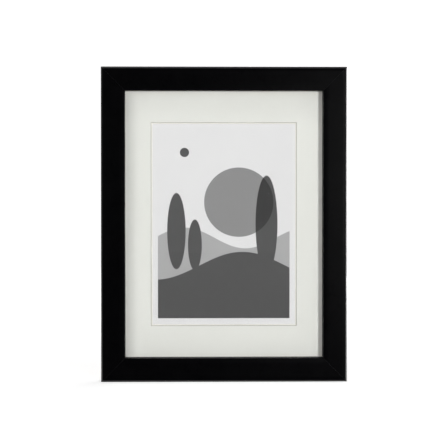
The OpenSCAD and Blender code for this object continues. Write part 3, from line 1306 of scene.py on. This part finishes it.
@dataclass
class PictureStack:
    """Pane, bevelled mat, printed sheet and back board."""

    glass: bpy.types.Material
    mat: bpy.types.Material
    sheet: bpy.types.Material
    board: bpy.types.Material

    def build(self) -> None:
        """Dresses the flat pieces, whose shapes are right as they are."""
        dress("glass_pane", self.glass)
        dress("passe_partout", self.mat)
        dress("insert_sheet", self.sheet)
        dress("back_board", self.board)


@dataclass(frozen=True)
class Fasteners:
    """Screws and rivets: each kind is turned once, and copied to its places."""

    screw_shank: float = 1.25 * MM
    screw_length: float = 12.2 * MM
    screw_point: float = 2.5 * MM
    screw_tip: float = 0.15 * MM
    screw_head: float = 2.9 * MM
    screw_height: float = 1.4 * MM
    # The pan head from its seat to its top, in shares of its radius and height
    pan: tuple[tuple[float, float], ...] = (
        (0.97, 0),
        (1, 0.06),
        (1, 0.42),
        (0.96, 0.62),
        (0.86, 0.8),
        (0.72, 0.92),
        (0.5, 1),
    )
    recess_reach: float = 1.74 * MM
    recess_width: float = 0.7 * MM
    recess_depth: float = 0.8 * MM
    # The recess narrows to these shares at its floor, as the driver's tip does
    recess_floor: tuple[float, float, float] = (0.55, 1, 0.7)
    rivet_shank: float = 1.4 * MM
    rivet_head: float = 2.7 * MM
    rivet_height: float = 0.8 * MM
    # The rivet head's rim, in shares of its radius and height
    rim: tuple[tuple[float, float], ...] = ((0.96, 0), (1, 0.05))
    # Its dome starts at this share of the height, and is drawn at these degrees
    dome_start: float = 0.35
    dome_turns: tuple[int, ...] = (0, 15, 30, 45, 60, 75)
    flare: float = 2.1 * MM
    flare_height: float = 0.8 * MM
    # The flared end stays this far below the surface
    flare_sunk: float = 0.1 * MM

    def screw(self) -> Workpiece:
        """Turns a pan-head screw along Y, with its head's seat at the origin and a cross recess.

        Returns:
            The screw.
        """
        head, height = self.screw_head, self.screw_height
        screw = Workpiece.turned(
            "screw",
            (
                (self.screw_tip, -self.screw_length),
                (self.screw_shank, self.screw_point - self.screw_length),
                (self.screw_shank, 0),
                *((wide * head, far * height) for wide, far in self.pan),
            ),
        )
        floor, wide = height - self.recess_depth, self.recess_width / 2
        arm = Workpiece.block(
            "arm", (-self.recess_reach, floor, -wide), (self.recess_reach, height + OVER, wide)
        )
        arm.pick(Element.FACE, lambda c, n: n.y < -FACING)
        bpy.ops.transform.resize(value=self.recess_floor, center_override=(0, floor, 0))
        arm.close()
        cross = arm.copy("cross", Matrix.Rotation(QUARTER, 4, "Y"))
        return screw.cut(arm).cut(cross)

    def rivet(self, stack: float) -> Workpiece:
        """Turns a domed rivet along Y, with its head's seat at the origin and its far end flared.

        Args:
            stack: Thickness of what it holds together.

        Returns:
            The rivet.
        """
        head, height = self.rivet_head, self.rivet_height
        foot = stack - self.flare_sunk
        low = self.dome_start
        dome = (
            (head * math.cos(turn), height * (low + (1 - low) * math.sin(turn)))
            for turn in map(math.radians, self.dome_turns)
        )
        return Workpiece.turned(
            "rivet",
            (
                (self.flare, -foot),
                (self.rivet_shank, self.flare_height - foot),
                (self.rivet_shank, 0),
                *((wide * head, far * height) for wide, far in self.rim),
                *dome,
            ),
        )

    def set_out(
        self, model: Workpiece, name: str, places: Iterable[Sequence[float]]
    ) -> Workpiece:
        """Copies a fastener to its places as one piece, and throws the model away.

        Args:
            model: The fastener at the origin.
            name: The piece's name.
            places: Where each head's seat lies.

        Returns:
            All of them as one piece.
        """
        copies = [model.copy(name, Matrix.Translation(place)) for place in places]
        bpy.data.objects.remove(model.shape)
        return copies[0].join(copies[1:]).tidy().smooth(SMOOTH_TURN)


@dataclass
class TurnButtons:
    """Four stamped turn buttons, each on its own pan-head screw."""

    steel: bpy.types.Material
    fasteners: Fasteners
    pivot_radius: float = 4.5 * MM
    tip_radius: float = 3.2 * MM
    hole: float = 1.33 * MM
    play: float = 0.1 * MM
    # A bead pressed into the arm stiffens it, from this share of the way from pivot to tip
    bead_share: float = 0.62
    bead_radius: float = 0.9 * MM
    bead_depth: float = 0.3 * MM
    stamped_edge: float = 0.18 * MM

    def button(self, low: Vector, high: Vector) -> Workpiece:
        """Stamps the upper left button.

        Args:
            low: Its lowest corner.
            high: Its highest corner.

        Returns:
            The button, which reaches from its pivot towards +X.
        """
        middle, thick = (low + high) / 2, high.y - low.y
        pivot = Vector((low.x + self.pivot_radius, middle.y, middle.z))
        tip = Vector((high.x - self.tip_radius, middle.y, middle.z))
        plate, end = (
            Workpiece.rod("upper_left_button", place, radius, thick, ALONG_Y, sides=64)
            for place, radius in ((pivot, self.pivot_radius), (tip, self.tip_radius))
        )
        plate.join([end]).wrap()
        plate.cut(Workpiece.rod("hole", pivot, self.hole, 3 * thick, ALONG_Y))
        sunk = Vector((0, high.y - middle.y - self.bead_depth / 2 + OVER / 2, 0))
        deep = self.bead_depth + OVER
        bead, end = (
            Workpiece.rod("bead", place + sunk, self.bead_radius, deep, ALONG_Y, sides=24)
            for place in (pivot.lerp(tip, self.bead_share), tip)
        )
        plate.cut(bead.join([end]).wrap())
        return plate.tidy().ease(self.stamped_edge, steps=3).smooth(SMOOTH_TURN)

    def build(self) -> None:
        """Stamps the buttons and sets their screws."""
        low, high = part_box("turn_button_upper_left")
        first = self.button(low, high)
        centre = (CAD_BOUNDS[0] + CAD_BOUNDS[1]) / 2
        about = Matrix.Translation((0, 0, centre.z))
        turned = about @ Matrix.Rotation(math.pi, 4, "Y") @ about.inverted()
        lower = high.z + low.z - 2 * centre.z
        down = Matrix.Translation((0, 0, -lower))
        buttons = {
            "upper_left": first,
            "lower_left": first.copy("lower_left_button", down),
            "lower_right": first.copy("lower_right_button", turned),
            "upper_right": first.copy("upper_right_button", turned @ down),
        }
        places = []
        for key, button in buttons.items():
            node = "turn_button_" + key
            low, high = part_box(node)
            if "left" in key:
                pivot = low.x + self.pivot_radius
            else:
                pivot = high.x - self.pivot_radius
            places.append((pivot, high.y + self.play, (low.z + high.z) / 2))
            stand_in(button, node, "button_" + key, (self.steel,))
        screws = self.fasteners.set_out(self.fasteners.screw(), "button_screws", places)
        stand_in(screws, "turn_button_screws", "frame", (self.steel,))


@dataclass
class Strut:
    """Hardboard strut with its riveted two-leaf hinge."""

    steel: bpy.types.Material
    board: bpy.types.Material
    fasteners: Fasteners
    top_width: float = 46 * MM
    corner: float = 5 * MM
    sanded_edge: float = 0.3 * MM
    leaf: float = 0.8 * MM
    stamped_edge: float = 0.12 * MM
    # The fixed leaf's rivets go through the back board
    board_depth: float = 3 * MM
    pin_end: float = 0.2 * MM

    def leg(self, low: Vector, high: Vector, rivets: Iterable[Vector]) -> Workpiece:
        """Saws the strut out of hardboard and rounds it.

        Args:
            low: Its lowest corner.
            high: Its highest corner.
            rivets: The seats of the rivets that hold it.

        Returns:
            The strut.
        """
        leg = Workpiece.block("strut_board", low, high)
        leg.pick(Element.FACE, lambda c, n: n.z > FACING)
        bpy.ops.transform.resize(
            value=(self.top_width / (high.x - low.x), 1, 1), center_override=(0, 0, high.z)
        )
        leg.close()
        leg.pick(Element.EDGE, lambda c, d: abs(d.y) > FACING).round_picked(self.corner, steps=8)
        leg.ease(self.sanded_edge)
        for seat in rivets:
            mouth = Vector((seat.x, low.y, seat.z))
            flare = self.fasteners.flare_height
            leg.cut(Workpiece.rod("mouth", mouth, self.fasteners.flare, 2 * flare, ALONG_Y))
        return leg.tidy().smooth(SMOOTH_TURN)

    def pin(self, low: Vector, high: Vector) -> Workpiece:
        """Turns the hinge pin.

        Args:
            low: Its lowest corner.
            high: Its highest corner.

        Returns:
            The pin, with both ends broken.
        """
        radius, length = (high.z - low.z) / 2, high.x - low.x
        end = self.pin_end
        pin = Workpiece.turned(
            "hinge_pin",
            ((radius - end, 0), (radius, end), (radius, length - end), (radius - end, length)),
        )
        middle = (low + high) / 2
        lay = Matrix.Translation((low.x, middle.y, middle.z)) @ Matrix.Rotation(-QUARTER, 4, "Z")
        pin.shape.matrix_world = lay
        return pin.settle().tidy().smooth(SMOOTH_TURN)

    def build(self) -> None:
        """Makes the strut and its hinge."""
        leg_low, leg_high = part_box("strut_leg")
        leaf_high, fixed_high, moving_high = (
            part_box(node)[1]
            for node in ("strut_hinge_leaf", "hinge_plate_rivets", "strut_leg_rivets")
        )
        head = self.fasteners.rivet_head
        plate_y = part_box("back_board")[1].y + self.leaf
        plate_seats, leg_seats = (
            [Vector((side * (high.x - head), seat_y, high.z - head)) for side in (-1, 1)]
            for high, seat_y in ((fixed_high, plate_y), (moving_high, leaf_high.y))
        )
        plate = Workpiece.of_node("fixed_leaf", "strut_hinge_plate")
        plate.ease(self.stamped_edge).smooth(SMOOTH_TURN)
        stand_in(plate, "strut_hinge_plate", "frame", (self.steel,))
        leaf = Workpiece.of_node("moving_leaf", "strut_hinge_leaf")
        leaf.ease(self.stamped_edge).smooth(SMOOTH_TURN)
        stand_in(leaf, "strut_hinge_leaf", "strut", (self.steel,))
        pin = self.pin(*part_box("strut_hinge_pin"))
        stand_in(pin, "strut_hinge_pin", "frame", (self.steel,))
        leg = self.leg(leg_low, leg_high, leg_seats)
        stand_in(leg, "strut_leg", "strut", (self.board,))
        rivet = self.fasteners.rivet(self.leaf + self.board_depth)
        fixed = self.fasteners.set_out(rivet, "fixed_leaf_rivets", plate_seats)
        stand_in(fixed, "hinge_plate_rivets", "frame", (self.steel,))
        rivet = self.fasteners.rivet(self.leaf + leg_high.y - leg_low.y)
        moving = self.fasteners.set_out(rivet, "moving_leaf_rivets", leg_seats)
        stand_in(moving, "strut_leg_rivets", "strut", (self.steel,))


@dataclass
class Hangers:
    """A folded strap, a wire ring and a rivet for each way up."""

    steel: bpy.types.Material
    fasteners: Fasteners
    sheet: float = 0.6 * MM
    width: float = 12 * MM
    length: float = 8.2 * MM
    corner: float = 2 * MM
    # The wire's radius; the ring's corners, straight sides and half width to the wire's middle
    wire: float = 0.8 * MM
    bend: float = 1.6 * MM
    side: float = 7 * MM
    half: float = 7.8 * MM
    clearance: float = 0.08 * MM
    # Where the rivet sits, as a share of the strap's length
    rivet_share: float = 0.56
    # The rivets go through the back board
    board_depth: float = 3 * MM
    stamped_edge: float = 0.08 * MM

    def strap(self) -> Workpiece:
        """Folds a strip, pointing down, round the ring's bar along X through the origin.

        Returns:
            The strap, with its lower layer towards -Y.
        """
        roll = self.wire + self.clearance + self.sheet / 2
        upper = self.sheet - roll
        half = self.width / 2
        strap = Workpiece.plate("strap", (-half, -roll, -self.length), (half, -roll, 0))
        strap.pick(Element.VERT, lambda c, n: c.z < -self.length + NEAR)
        bpy.ops.mesh.bevel(offset=self.corner, segments=6, affect="VERTICES")
        strap.close()
        strap.pick(Element.EDGE, lambda c, d: c.z > -NEAR)
        strap.roll((0, 0, 0), ALONG_X, -3 * QUARTER, steps=18)
        # The upper layer leaves the roll, bends down to the lower one and runs on along it
        for y, z in (
            (-0.3 * roll, -1.07 * roll),
            (0.8 * upper, -1.25 * roll),
            (upper, -1.55 * roll),
            (upper, -self.length),
        ):
            mesh = bmesh.from_edit_mesh(strap.shape.data)
            here = sum((v.co for v in mesh.verts if v.select), Vector()) / 2
            strap.pull((0, y - here.y, z - here.z))
        strap.close()
        end = NEAR - self.length
        strap.pick(Element.VERT, lambda c, n: c.z < end and abs(c.y - upper) < NEAR)
        bpy.ops.mesh.bevel(offset=self.corner, segments=6, affect="VERTICES")
        strap.close().tidy()
        thick = strap.shape.modifiers.new("sheet", "SOLIDIFY")
        thick.thickness = self.sheet
        thick.offset = 0
        strap.activate()
        bpy.ops.object.modifier_apply(modifier=thick.name)
        # The steps of its bends turn less than this and stay as they are
        return strap.ease(self.stamped_edge, angle=50).smooth(SMOOTH_TURN)

    def ring(self) -> Workpiece:
        """Bends a closed wire ring that hangs from its bar along X through the origin.

        Returns:
            The ring.
        """
        straight = self.half - self.bend
        ring = Workpiece.hoop("ring", (0, 0, 0), self.wire, ALONG_X)
        ring.pick(Element.EDGE, every)
        ring.pull((straight, 0, 0))
        ring.swing((straight, 0, -self.bend), QUARTER, steps=8)
        ring.pull((0, 0, self.bend - self.side))
        ring.swing((0, 0, -self.side), math.pi, steps=40)
        ring.pull((0, 0, self.side - self.bend))
        ring.swing((-straight, 0, -self.bend), QUARTER, steps=8)
        ring.pull((straight, 0, 0)).close()
        return ring.tidy().smooth(SMOOTH_TURN)

    def build(self) -> None:
        """Makes both hangers."""
        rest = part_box("back_board")[1].y
        # The strap's roll reaches this far from the bar's middle
        reach = self.wire + self.clearance + self.sheet
        axis_y = rest + reach
        top_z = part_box("hanger_strap_top")[1].z - reach
        side_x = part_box("hanger_strap_side")[1].x - reach
        side_z = sum(corner.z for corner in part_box("hanger_strap_side")) / 2
        top = Matrix.Translation((0, axis_y, top_z))
        side = Matrix.Translation((side_x, axis_y, side_z))
        strap, ring = self.strap(), self.ring()
        quarter = Matrix.Rotation(QUARTER, 4, "Y")
        pieces = (
            (strap.copy("top_strap", top), "hanger_strap_top", "frame"),
            (strap.copy("side_strap", side @ quarter), "hanger_strap_side", "frame"),
            (ring.copy("top_ring", top), "hanger_ring_top", "ring_top"),
            (ring.copy("side_ring", side @ quarter.inverted()), "hanger_ring_side", "ring_side"),
        )
        for piece, node, body in pieces:
            stand_in(piece, node, body, (self.steel,))
        for model in (strap, ring):
            bpy.data.objects.remove(model.shape)
        down = self.rivet_share * self.length
        seat_y = rest + 2 * self.sheet
        rivets = self.fasteners.set_out(
            self.fasteners.rivet(2 * self.sheet + self.board_depth),
            "strap_rivets",
            ((0, seat_y, top_z - down), (side_x - down, seat_y, side_z)),
        )
        stand_in(rivets, "hanger_rivets", "frame", (self.steel,))


# Studio


@dataclass(frozen=True)
class SoftLamp:
    """A soft box: where it stands, its width and height, its power and what it is turned to."""

    name: str
    place: Place
    size: tuple[float, float]
    power: float
    aim: Place = (0.0, 0.0, 0.135)

    def build(self) -> None:
        """Sets up the lamp."""
        Workpiece.clear_selection()
        line = Vector(self.aim) - Vector(self.place)
        turn = line.to_track_quat("-Z", "Y").to_euler()
        bpy.ops.object.light_add(type="AREA", location=self.place, rotation=turn)
        lamp = bpy.context.active_object
        lamp.name = self.name
        lamp.data.shape = "RECTANGLE"
        lamp.data.size, lamp.data.size_y = self.size
        lamp.data.energy = self.power
        LOG.info("%s set up", self.name)


@dataclass
class Studio:
    """Pale floor, white surroundings, soft lamps and the camera."""

    # Light that comes from all round onto the object
    fill: float = 0.06
    # From the object to each side of the floor
    floor_half: float = 3.0
    # Far behind, the floor runs up into the backdrop in a curve of this radius
    floor_curve: float = 1.0
    floor_colour: str = "#EDEDED"
    # The floor's own white, near the object where it keeps its shadow, and far off
    floor_glow: tuple[float, float] = (0.66, 1.0)
    # How far from the object's foot near ends and far off starts
    glow_from: float = 0.25
    glow_to: float = 1.2
    # A dark card in front keeps the floor out of the pane
    card_colour: str = "#303030"
    # How far back a reflected or bent ray points, or ends, where the white starts and is full
    white_sky: tuple[float, float] = (-0.1, 0.4)
    white_floor: tuple[float, float] = (-0.3, 0.0)
    # From the frame's front to the camera
    distance: float = 1.6
    # What the photograph takes in across, at the frame's front
    view_width: float = 0.3840
    # The outline tapers a little to the right and downwards
    camera_left: float = 40 * MM
    camera_lift: float = 34 * MM
    # The photograph's middle lies this far over and left of the frame's
    aim_lift: float = 0.45 * MM
    aim_left: float = 0.21 * MM
    sensor: float = 36.0
    lamps: tuple[SoftLamp, ...] = (
        SoftLamp("lamp_key", (0.6, -2.32, 0.2), (0.2, 0.38), 31.8),
        SoftLamp("lamp_left", (-0.64, -1.35, 0.3), (0.75, 1.0), 7.8),
        SoftLamp("lamp_rim", (1.39, 0.17, 0.2), (0.35, 0.4), 12.0),
        SoftLamp("lamp_overhead", (-0.1, -0.65, 1.2), (0.7, 0.5), 2.6),
        SoftLamp("lamp_rear", (0.75, 1.75, 0.42), (0.7, 0.7), 24.0),
    )

    def looked_at(
        self, tree: Tree, back: Socket, start: float, full: float
    ) -> tuple[Socket, Socket]:
        """Tells rays that show the white backdrop from reflections of the dim studio in front.

        Args:
            tree: The node tree that gets the nodes.
            back: How far back the ray ends, or points.
            start: Where a gloss, or what is seen through glass, begins to show the backdrop.
            full: Where it shows it fully.

        Returns:
            1 where the backdrop shows, and 1 where the dim studio shows instead.
        """
        ray = add_node(tree, "LightPath").outputs
        ends = {"Value": back, "From Min": start, "From Max": full}
        behind = add_node(tree, "MapRange", ends).outputs[0]
        turned = {0: ray["Is Glossy Ray"], 1: ray["Is Transmission Ray"]}
        bent = add_node(tree, "Math", turned, operation="MAXIMUM").outputs[0]
        gloss = add_node(tree, "Math", {0: behind, 1: bent}, operation="MULTIPLY").outputs[0]
        shown = {0: gloss, 1: ray["Is Camera Ray"]}
        seen = add_node(tree, "Math", shown, operation="MAXIMUM").outputs[0]
        dim = add_node(tree, "Math", {0: bent, 1: gloss}, operation="SUBTRACT").outputs[0]
        return seen, dim

    def surroundings(self) -> None:
        """Makes the world: a plain fill, and white where it is looked at."""
        world = bpy.data.worlds.new("studio")
        world.use_nodes = True
        tree = world.node_tree
        tree.nodes.clear()
        direction = add_node(tree, "TexCoord").outputs["Generated"]
        back = add_node(tree, "SeparateXYZ", {0: direction}).outputs[1]
        seen, _ = self.looked_at(tree, back, *self.white_sky)
        level = add_node(tree, "MapRange", {"Value": seen, "To Min": self.fill, "To Max": 1.0})
        light = add_node(tree, "Background", {"Color": (1, 1, 1, 1), "Strength": level.outputs[0]})
        add_node(tree, "OutputWorld", {"Surface": light.outputs[0]})
        bpy.context.scene.world = world

    def floor(self) -> None:
        """Makes the pale floor, which runs up into the backdrop far behind."""
        Workpiece.clear_selection()
        bpy.ops.mesh.primitive_plane_add(size=2 * self.floor_half)
        floor = Workpiece(bpy.context.active_object).settle("studio_floor")
        edge = self.floor_half
        floor.pick(Element.EDGE, lambda c, d: c.y > edge - NEAR)
        floor.roll((0, edge, self.floor_curve), ALONG_X, QUARTER, steps=12)
        floor.close().smooth(SMOOTH_TURN)
        material = bpy.data.materials.new("studio_paper")
        material.use_nodes = True
        tree = material.node_tree
        tree.nodes.clear()
        paper = add_node(tree, "BsdfDiffuse", {"Color": srgb(self.floor_colour)})
        place = add_node(tree, "TexCoord").outputs["Object"]
        back = add_node(tree, "SeparateXYZ", {0: place}).outputs[1]
        away = add_node(tree, "VectorMath", {0: place}, operation="LENGTH")
        level = add_node(
            tree,
            "MapRange",
            {
                "Value": away.outputs["Value"],
                "From Min": self.glow_from,
                "From Max": self.glow_to,
                "To Min": self.floor_glow[0],
                "To Max": self.floor_glow[1],
            },
        )
        seen, dim = self.looked_at(tree, back, *self.white_floor)
        glow = add_node(tree, "Math", {0: seen, 1: level.outputs[0]}, operation="MULTIPLY")
        shine = add_node(tree, "Emission", {"Strength": glow.outputs[0]})
        both = add_node(tree, "AddShader", {0: paper.outputs[0], 1: shine.outputs[0]})
        card = add_node(tree, "BsdfDiffuse", {"Color": srgb(self.card_colour)})
        shown = add_node(tree, "MixShader", {0: dim, 1: both.outputs[0], 2: card.outputs[0]})
        add_node(tree, "OutputMaterial", {"Surface": shown.outputs[0]})
        floor.shape.data.materials.append(material)

    def camera(self) -> None:
        """Sets the camera at the photograph's angle."""
        Workpiece.clear_selection()
        low, high = CAD_BOUNDS
        target = Vector((-self.aim_left, low.y, (low.z + high.z) / 2 + self.aim_lift))
        place = target + Vector((-self.camera_left, -self.distance, self.camera_lift))
        turn = (target - place).to_track_quat("-Z", "Y").to_euler()
        bpy.ops.object.camera_add(location=place, rotation=turn)
        camera = bpy.context.active_object
        camera.name = "photo_camera"
        camera.data.sensor_width = self.sensor
        camera.data.lens = self.sensor * (target - place).length / self.view_width
        bpy.context.scene.camera = camera

    def build(self) -> None:
        """Builds the whole studio."""
        self.surroundings()
        self.floor()
        for lamp in self.lamps:
            lamp.build()
        self.camera()
        bpy.context.scene.view_settings.view_transform = "Standard"
        LOG.info("studio set up")


def sheet_middle() -> Place:
    """Gives the middle of the printed sheet."""
    low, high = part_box("insert_sheet")
    return tuple((low + high) / 2)


def main() -> None:
    """Builds the frame's sub-assemblies and the studio round them."""
    logging.basicConfig(level=logging.INFO, format="%(message)s")
    foil = SatinFoil("satin_black_foil").material()
    bare = FibreBoard("mdf_bare").material()
    hardboard = FibreBoard(
        "hardboard_stained_black",
        colour="#171513",
        light="#262220",
        fleck="#0C0B0A",
        roughness=0.7,
    ).material()
    steel = ZincSteel("zinc_plated_steel").material()
    Moulding(foil=foil, bare=bare, steel=steel).build()
    PictureStack(
        glass=PaneGlass("float_glass").material(),
        mat=PaperBoard("mat_board_bevel_cut", front=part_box("passe_partout")[0].y).material(),
        sheet=PrintedSheet("paper_offset_printed", middle=sheet_middle()).material(),
        board=bare,
    ).build()
    fasteners = Fasteners()
    TurnButtons(steel=steel, fasteners=fasteners).build()
    Strut(steel=steel, board=hardboard, fasteners=fasteners).build()
    Hangers(steel=steel, fasteners=fasteners).build()
    Studio().build()


if __name__ == "__main__":
    main()
